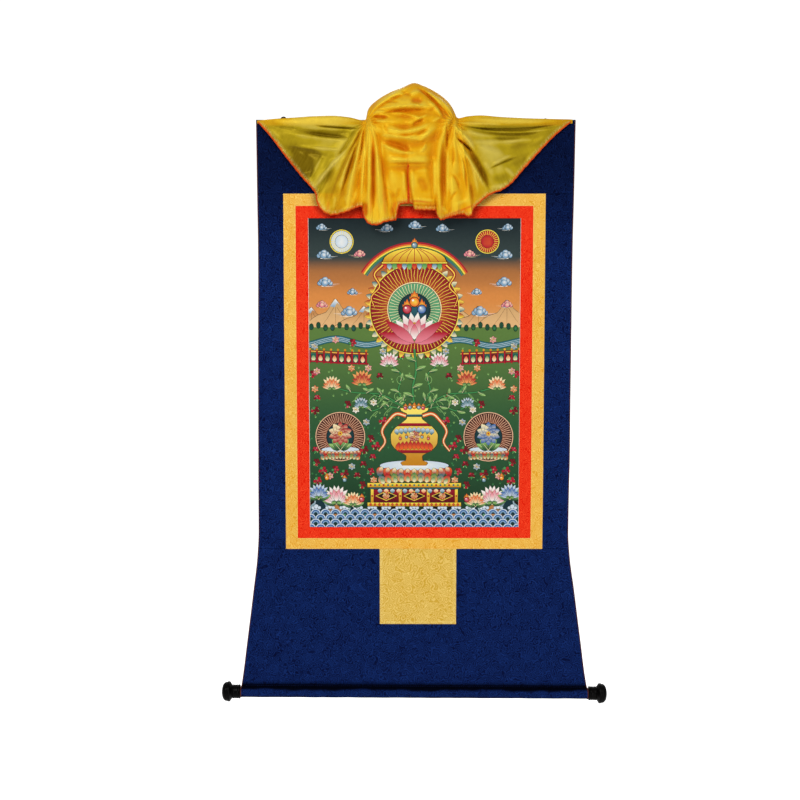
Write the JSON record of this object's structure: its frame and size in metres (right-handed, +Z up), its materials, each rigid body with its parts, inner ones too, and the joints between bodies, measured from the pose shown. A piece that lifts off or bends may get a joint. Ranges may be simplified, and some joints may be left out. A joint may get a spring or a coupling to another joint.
{
  "type": "thangka scroll painting with top slat and roller",
  "caption": "Painted canvas framed in strips of red, gold and navy brocade, hung from a slat, with a gathered yellow veil at the top and a roller with turned knobs below.",
  "frame": {"origin": "the middle of the scroll's top edge, centred in the depth of the top slat, which is where it is hung from", "axes": "+Z up, the front with the painting faces -Y, +X is to the viewer's right; the scroll hangs in the X-Z plane"},
  "size_m": [0.7511, 0.0775, 1.1922],
  "materials": {
    "batten_wood": "plain dark wood",
    "navy_brocade": "navy damask with a tone-on-tone pattern",
    "gold_brocade": "gold figured brocade",
    "red_brocade": "bright red figured brocade",
    "painted_canvas": "matt mineral colours on sized cotton",
    "piping": "red-brown cord binding",
    "black_lacquer": "turned wood in black lacquer",
    "yellow_satin": "thin yellow satin, slightly sheer, with overlocked orange edges",
    "dark_cord": "dark brown cord"
  },
  "bodies": {
    "root": {"top_slat": "batten_wood", "roller_dowel": "batten_wood", "top_panel": "navy_brocade", "side_panel_left": "navy_brocade", "side_panel_right": "navy_brocade", "bottom_panel": "navy_brocade", "gold_strip_top": "gold_brocade", "gold_strip_bottom": "gold_brocade", "gold_strip_left": "gold_brocade", "gold_strip_right": "gold_brocade", "door_patch": "gold_brocade", "red_strip_top": "red_brocade", "red_strip_bottom": "red_brocade", "red_strip_left": "red_brocade", "red_strip_right": "red_brocade", "painting": "painted_canvas", "edge_piping_left": "piping", "edge_piping_right": "piping", "knob_left": "black_lacquer", "knob_right": "black_lacquer", "veil": "yellow_satin", "hanging_loop_left": "dark_cord", "hanging_loop_right": "dark_cord"}
  },
  "joints": []
}
